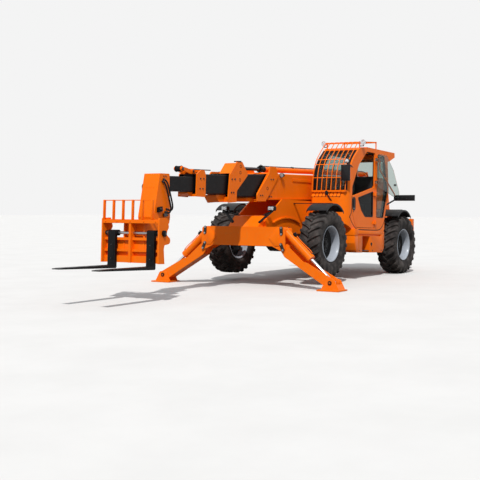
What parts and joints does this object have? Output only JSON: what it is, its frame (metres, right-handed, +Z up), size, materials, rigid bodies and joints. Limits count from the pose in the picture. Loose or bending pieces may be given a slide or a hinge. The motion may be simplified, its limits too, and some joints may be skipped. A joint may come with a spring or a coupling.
{
  "type": "telehandler",
  "caption": "Telescopic handler with a side cab, telescoping boom, pallet forks and folding front stabiliser legs, parked on its rear wheels and feet.",
  "frame": {"origin": "centre of the overall box on the ground, in the pose of the picture", "axes": "+X from the rear towards the forks, +Y to the cab's side, +Z up from the ground"},
  "size_m": [9.979, 3.834, 2.65],
  "materials": {
    "orange_paint": "orange gloss enamel",
    "black_paint": "satin black enamel",
    "grey_paint": "silver grey enamel",
    "steel": "bare steel",
    "chrome": "hard chrome",
    "cast_iron": "dark cast iron",
    "tyre": "black rubber",
    "black_plastic": "black moulded plastic",
    "glass": "faint green glass",
    "seat_vinyl": "black vinyl"
  },
  "bodies": {
    "root": {"chassis_frame": "orange_paint", "stabiliser_beam": "orange_paint", "counterweight": "orange_paint", "side_tank": "orange_paint", "engine_box": "orange_paint", "engine": "cast_iron", "exhaust": "black_paint", "cab_shell": "orange_paint", "cab_roof": "orange_paint", "cab_glass": "glass", "cab_guard": "orange_paint", "mirrors": "black_plastic", "work_lamps": "black_plastic", "rear_lamps": "black_plastic", "fenders": "black_plastic", "seat": "seat_vinyl", "steering_column": "black_plastic", "front_axle": "cast_iron", "rear_axle": "cast_iron"},
    "door": {"door": "orange_paint", "door_glass": "glass"},
    "door_pane": {"door_pane": "glass", "pane_bar": "orange_paint", "pane_knob": "black_plastic"},
    "boom_outer": {"boom_outer": "orange_paint", "boom_lamp": "black_plastic", "extend_barrel": "orange_paint", "boom_pivot_pin": "steel"},
    "boom_second": {"boom_second": "black_paint", "extend_rod": "steel"},
    "boom_third": {"boom_third": "black_paint"},
    "boom_head": {"boom_head": "orange_paint"},
    "carriage": {"carriage": "orange_paint", "forks": "black_paint", "fork_shaft": "steel"},
    "tilt_barrel": {"tilt_barrel": "black_paint"},
    "tilt_rod": {"tilt_rod": "chrome"},
    "lift_barrel": {"lift_barrel": "black_paint"},
    "lift_rod": {"lift_rod": "chrome"},
    "leg_left": {"leg_left": "orange_paint"},
    "foot_left": {"foot_left": "orange_paint"},
    "leg_barrel_left": {"leg_barrel_left": "orange_paint"},
    "leg_rod_left": {"leg_rod_left": "chrome"},
    "leg_right": {"leg_right": "orange_paint"},
    "foot_right": {"foot_right": "orange_paint"},
    "leg_barrel_right": {"leg_barrel_right": "orange_paint"},
    "leg_rod_right": {"leg_rod_right": "chrome"},
    "knuckle_front_left": {"knuckle_front_left": "cast_iron"},
    "wheel_front_left": {"rim_front_left": "grey_paint", "tyre_front_left": "tyre"},
    "knuckle_front_right": {"knuckle_front_right": "cast_iron"},
    "wheel_front_right": {"rim_front_right": "grey_paint", "tyre_front_right": "tyre"},
    "knuckle_rear_left": {"knuckle_rear_left": "cast_iron"},
    "wheel_rear_left": {"rim_rear_left": "grey_paint", "tyre_rear_left": "tyre"},
    "knuckle_rear_right": {"knuckle_rear_right": "cast_iron"},
    "wheel_rear_right": {"rim_rear_right": "grey_paint", "tyre_rear_right": "tyre"}
  },
  "joints": [
    {"name": "steer_front_left", "type": "hinge", "parent": "root", "child": "knuckle_front_left", "pos_m": [-0.35683, 0.83, 0.719], "axis": [-0.0397, 0, 0.9992], "range_deg": [-30, 30]},
    {"name": "spin_front_left", "type": "hinge", "parent": "knuckle_front_left", "child": "wheel_front_left", "pos_m": [-0.35683, 0.975, 0.719], "axis": [0, 1, 0], "continuous": true},
    {"name": "steer_front_right", "type": "hinge", "parent": "root", "child": "knuckle_front_right", "pos_m": [-0.35683, -0.83, 0.719], "axis": [-0.0397, 0, 0.9992], "range_deg": [-30, 30]},
    {"name": "spin_front_right", "type": "hinge", "parent": "knuckle_front_right", "child": "wheel_front_right", "pos_m": [-0.35683, -0.975, 0.719], "axis": [0, 1, 0], "continuous": true},
    {"name": "steer_rear_left", "type": "hinge", "parent": "root", "child": "knuckle_rear_left", "pos_m": [-3.60427, 0.83, 0.59], "axis": [-0.0397, 0, 0.9992], "range_deg": [-30, 30]},
    {"name": "spin_rear_left", "type": "hinge", "parent": "knuckle_rear_left", "child": "wheel_rear_left", "pos_m": [-3.60427, 0.975, 0.59], "axis": [0, 1, 0], "continuous": true},
    {"name": "steer_rear_right", "type": "hinge", "parent": "root", "child": "knuckle_rear_right", "pos_m": [-3.60427, -0.83, 0.59], "axis": [-0.0397, 0, 0.9992], "range_deg": [-30, 30]},
    {"name": "spin_rear_right", "type": "hinge", "parent": "knuckle_rear_right", "child": "wheel_rear_right", "pos_m": [-3.60427, -0.975, 0.59], "axis": [0, 1, 0], "continuous": true},
    {"name": "door_swing", "type": "hinge", "parent": "root", "child": "door", "pos_m": [-2.27153, 1.112, 1.3535], "axis": [-0.0397, 0, 0.9992], "range_deg": [0, 90]},
    {"name": "door_pane_swing", "type": "hinge", "parent": "root", "child": "door_pane", "pos_m": [-2.29931, 1.112, 2.05295], "axis": [-0.0397, 0, 0.9992], "range_deg": [-178, 0]},
    {"name": "boom_lift", "type": "hinge", "parent": "root", "child": "boom_outer", "pos_m": [-4.4025, 0, 1.78926], "axis": [0, -1, 0], "range_deg": [0, 65]},
    {"name": "lift_barrel_swing", "type": "hinge", "parent": "root", "child": "lift_barrel", "pos_m": [-3.95836, 0, 0.68602], "axis": [0, -1, 0], "range_deg": [-0.5, 49.04]},
    {"name": "lift_rod_slide", "type": "slide", "parent": "lift_barrel", "child": "lift_rod", "axis": [0.8901, 0, 0.4558], "range_m": [-0.01, 1.13439]},
    {"name": "boom_extend", "type": "slide", "parent": "boom_outer", "child": "boom_second", "axis": [1, 0, -0.0074], "range_m": [-0.58, 3.3]},
    {"name": "boom_third_slide", "type": "slide", "parent": "boom_second", "child": "boom_third", "axis": [1, 0, -0.0074], "range_m": [-0.581, 3.301]},
    {"name": "boom_head_slide", "type": "slide", "parent": "boom_third", "child": "boom_head", "axis": [1, 0, -0.0074], "range_m": [-0.581, 3.301]},
    {"name": "carriage_tilt", "type": "hinge", "parent": "boom_head", "child": "carriage", "pos_m": [3.31239, 0, 1.07199], "axis": [0, 1, 0], "range_deg": [-12, 45]},
    {"name": "tilt_barrel_swing", "type": "hinge", "parent": "boom_head", "child": "tilt_barrel", "pos_m": [3.19714, 0, 1.71286], "axis": [0, 1, 0], "range_deg": [-2.69, 8.73]},
    {"name": "tilt_rod_slide", "type": "slide", "parent": "tilt_barrel", "child": "tilt_rod", "axis": [-0.0843, 0, -0.9964], "range_m": [-0.17722, 0.05093]},
    {"name": "leg_fold_left", "type": "hinge", "parent": "root", "child": "leg_left", "pos_m": [0.67713, 0.815, 0.69002], "axis": [0.9992, 0, 0.0397], "range_deg": [0, 110]},
    {"name": "foot_swing_left", "type": "hinge", "parent": "leg_left", "child": "foot_left", "pos_m": [0.69944, 1.717, 0.12846], "axis": [0.9992, 0, 0.0397], "range_deg": [-15, 15]},
    {"name": "leg_barrel_swing_left", "type": "hinge", "parent": "root", "child": "leg_barrel_left", "pos_m": [0.66602, 0.785, 0.9698], "axis": [0.9992, 0, 0.0397], "range_deg": [-0.5, 114.41]},
    {"name": "leg_rod_slide_left", "type": "slide", "parent": "leg_barrel_left", "child": "leg_rod_left", "axis": [0.0266, 0.742, -0.6698], "range_m": [-0.46125, 0.005]},
    {"name": "leg_fold_right", "type": "hinge", "parent": "root", "child": "leg_right", "pos_m": [0.67713, -0.815, 0.69002], "axis": [-0.9992, 0, -0.0397], "range_deg": [0, 110]},
    {"name": "foot_swing_right", "type": "hinge", "parent": "leg_right", "child": "foot_right", "pos_m": [0.69944, -1.717, 0.12846], "axis": [-0.9992, 0, -0.0397], "range_deg": [-15, 15]},
    {"name": "leg_barrel_swing_right", "type": "hinge", "parent": "root", "child": "leg_barrel_right", "pos_m": [0.66602, -0.785, 0.9698], "axis": [-0.9992, 0, -0.0397], "range_deg": [-0.5, 114.41]},
    {"name": "leg_rod_slide_right", "type": "slide", "parent": "leg_barrel_right", "child": "leg_rod_right", "axis": [0.0266, -0.742, -0.6698], "range_m": [-0.46125, 0.005]}
  ],
  "couplings": [
    {"joint": "steer_front_right", "follows": "steer_front_left", "ratio": 1},
    {"joint": "steer_rear_right", "follows": "steer_rear_left", "ratio": 1},
    {"joint": "lift_barrel_swing", "follows": "boom_lift", "ratio": 0.74674},
    {"joint": "lift_rod_slide", "follows": "boom_lift", "m_per_rad": 0.99112},
    {"joint": "boom_third_slide", "follows": "boom_extend", "ratio": 1},
    {"joint": "boom_head_slide", "follows": "boom_extend", "ratio": 1},
    {"joint": "tilt_barrel_swing", "follows": "carriage_tilt", "ratio": 0.18287},
    {"joint": "tilt_rod_slide", "follows": "carriage_tilt", "m_per_rad": -0.21928},
    {"joint": "leg_barrel_swing_left", "follows": "leg_fold_left", "ratio": 1.0355},
    {"joint": "leg_rod_slide_left", "follows": "leg_fold_left", "m_per_rad": -0.23765},
    {"joint": "leg_barrel_swing_right", "follows": "leg_fold_right", "ratio": 1.0355},
    {"joint": "leg_rod_slide_right", "follows": "leg_fold_right", "m_per_rad": -0.23765}
  ]
}
